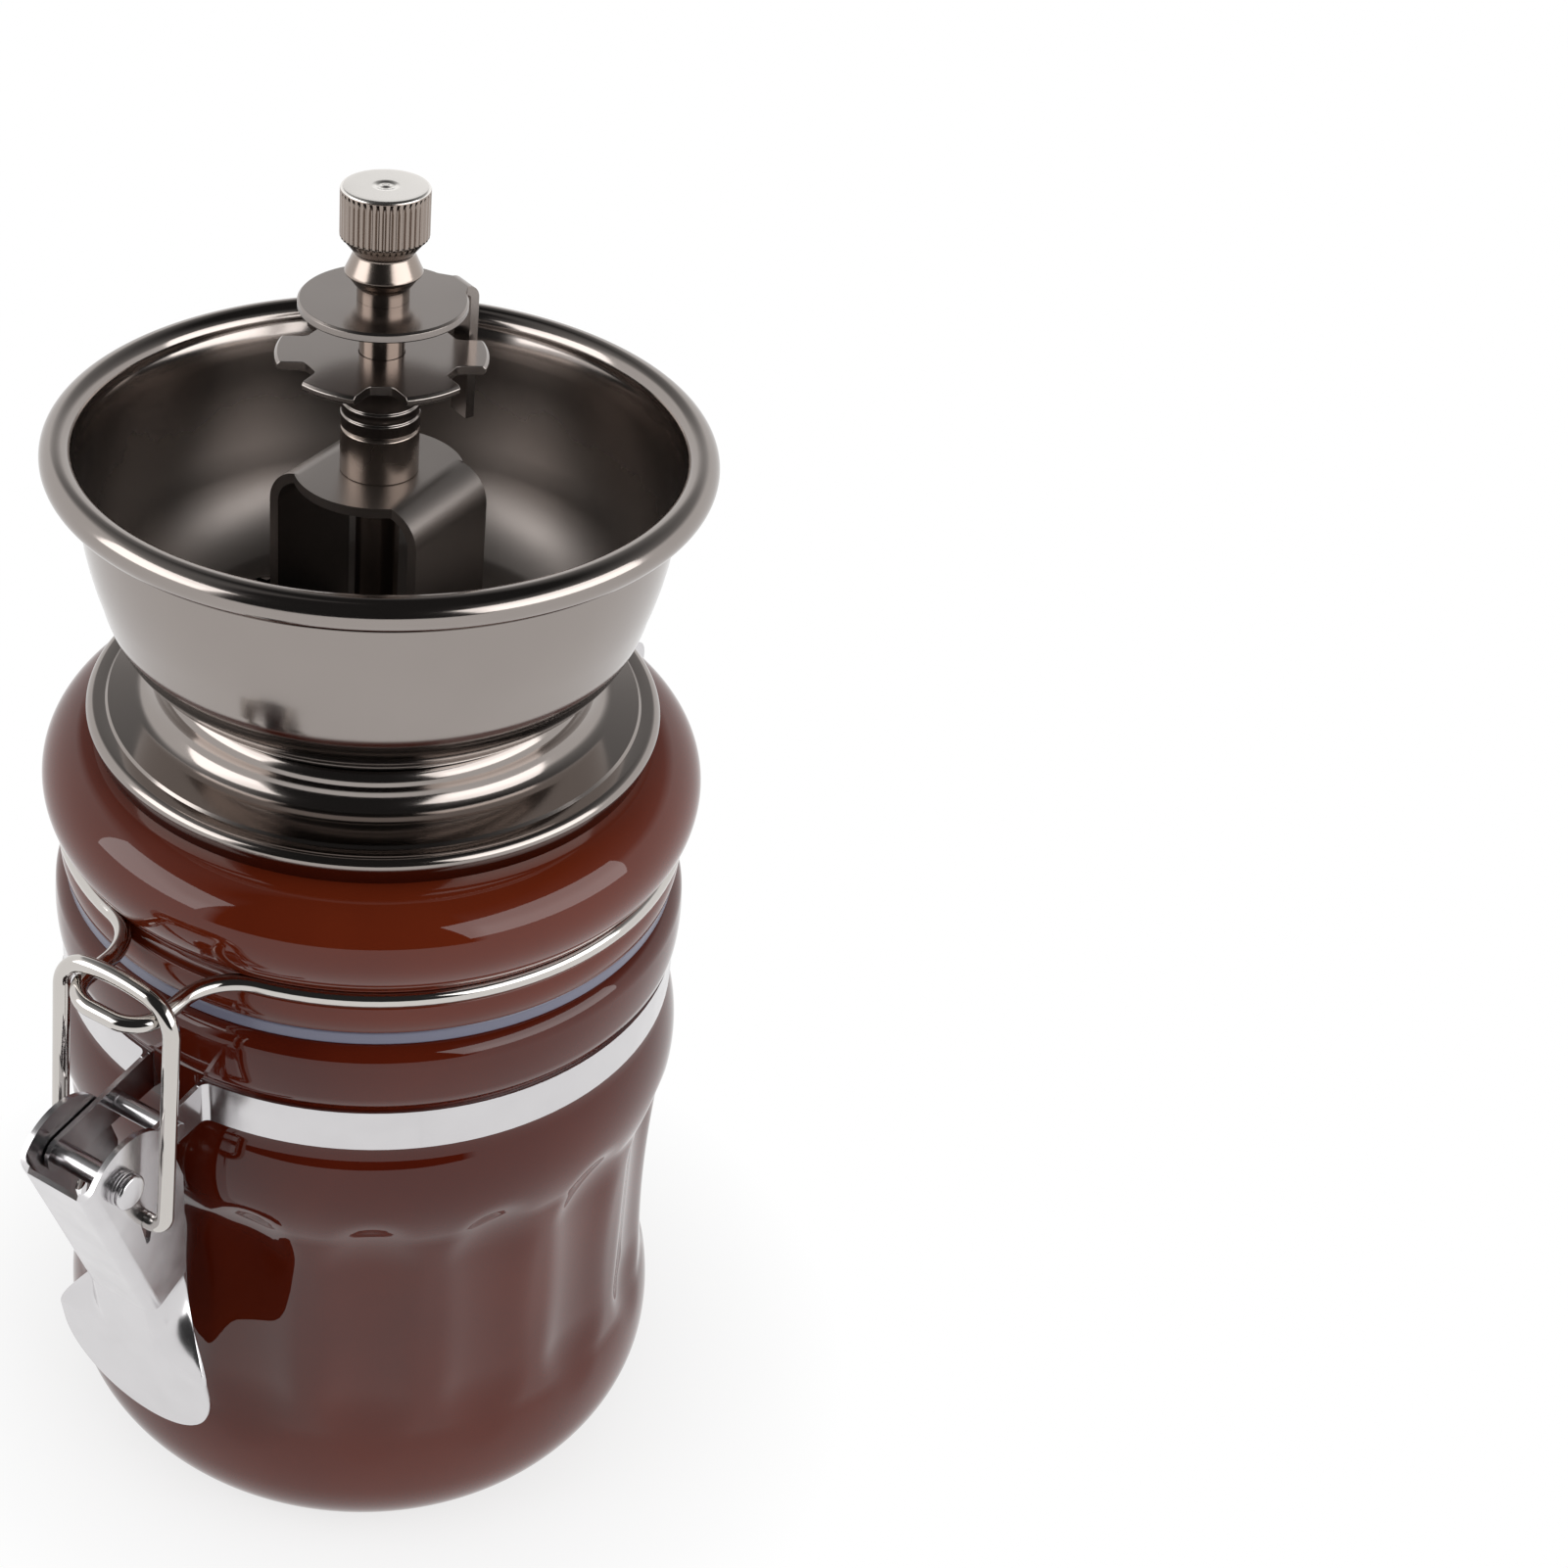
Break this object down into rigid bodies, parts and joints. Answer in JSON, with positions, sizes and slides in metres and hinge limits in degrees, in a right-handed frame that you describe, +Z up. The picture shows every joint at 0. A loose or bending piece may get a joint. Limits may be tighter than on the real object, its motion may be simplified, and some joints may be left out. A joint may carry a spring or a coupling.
{
  "type": "manual coffee grinder",
  "caption": "Hand coffee grinder: fluted ceramic jar with a wire-clip lid, a metal bean hopper, a bracketed shaft with adjusting nut and thumb nut on top, and conical burrs below the lid",
  "frame": {"origin": "centre of the jar's foot on the table, on the jar's axis", "axes": "+Z up along the jar's axis, -Y towards the latch and its lever, +Y towards the lid's hinge, +X to the right seen from the latch"},
  "size_m": [0.104, 0.142, 0.2225],
  "materials": {
    "brown_glaze": "dark red-brown glaze, glossy",
    "dark_plate": "black-nickel plated steel, polished",
    "bright_wire": "bright nickel-plated steel",
    "bright_strip": "polished stainless strip",
    "silicone": "blue-grey translucent silicone, satin",
    "white_burr": "matt ceramic",
    "dark_plastic": "moulded, satin",
    "plain_steel": "turned steel",
    "warm_plate": "warm grey nickel-plated steel"
  },
  "bodies": {
    "jar": {"jar": "brown_glaze", "neck_band": "bright_strip", "band_spacer": "bright_strip", "pivot_sleeve": "bright_strip", "hinge_bracket": "bright_strip", "hinge_rivet": "bright_strip"},
    "lid": {"lid": "brown_glaze", "gasket": "silicone", "lid_wire": "bright_wire", "hopper_base": "dark_plate", "hopper": "dark_plate", "bracket": "dark_plate", "bracket_screw": "dark_plate", "shaft_bush": "warm_plate", "burr_housing": "dark_plastic", "outer_burr": "white_burr"},
    "adjuster": {"adjusting_nut": "dark_plate"},
    "drive": {"drive_shaft": "warm_plate", "inner_burr": "white_burr", "burr_washer": "plain_steel", "burr_nut": "plain_steel", "spring_washer": "plain_steel", "burr_spring": "plain_steel"},
    "stopper": {"stopper": "dark_plate"},
    "thumb_nut": {"thumb_nut": "warm_plate"},
    "lever": {"lever": "bright_strip", "lever_pin": "bright_strip"},
    "link": {"link": "bright_wire"}
  },
  "joints": [
    {"name": "lid_hinge", "type": "hinge", "parent": "jar", "child": "lid", "pos_m": [0, 0.061, 0.1198], "axis": [-1, 0, 0], "range_deg": [0, 95]},
    {"name": "shaft_spin", "type": "hinge", "parent": "lid", "child": "adjuster", "pos_m": [0, 0, 0.19], "axis": [0, 0, 1], "continuous": true},
    {"name": "burr_gap", "type": "slide", "parent": "adjuster", "child": "drive", "axis": [0, 0, 1], "range_m": [-0.0015, 0], "deforming": ["burr_spring"]},
    {"name": "thumb_nut_turn", "type": "hinge", "parent": "stopper", "child": "thumb_nut", "pos_m": [0, 0, 0.214], "axis": [0, 0, 1], "range_deg": [0, 5400]},
    {"name": "stopper_lift", "type": "slide", "parent": "drive", "child": "stopper", "axis": [0, 0, 1], "range_m": [0, 0.012]},
    {"name": "lever_swing", "type": "hinge", "parent": "jar", "child": "lever", "pos_m": [0, -0.07, 0.0938], "axis": [-1, 0, 0], "range_deg": [0, 120]},
    {"name": "link_swing", "type": "hinge", "parent": "lever", "child": "link", "pos_m": [0, -0.065, 0.0833], "axis": [-1, 0, 0], "range_deg": [-156, 0]}
  ],
  "couplings": [
    {"joint": "link_swing", "follows": "lever_swing", "ratio": -1.3},
    {"joint": "stopper_lift", "follows": "thumb_nut_turn", "m_per_rad": 0.00012223}
  ]
}
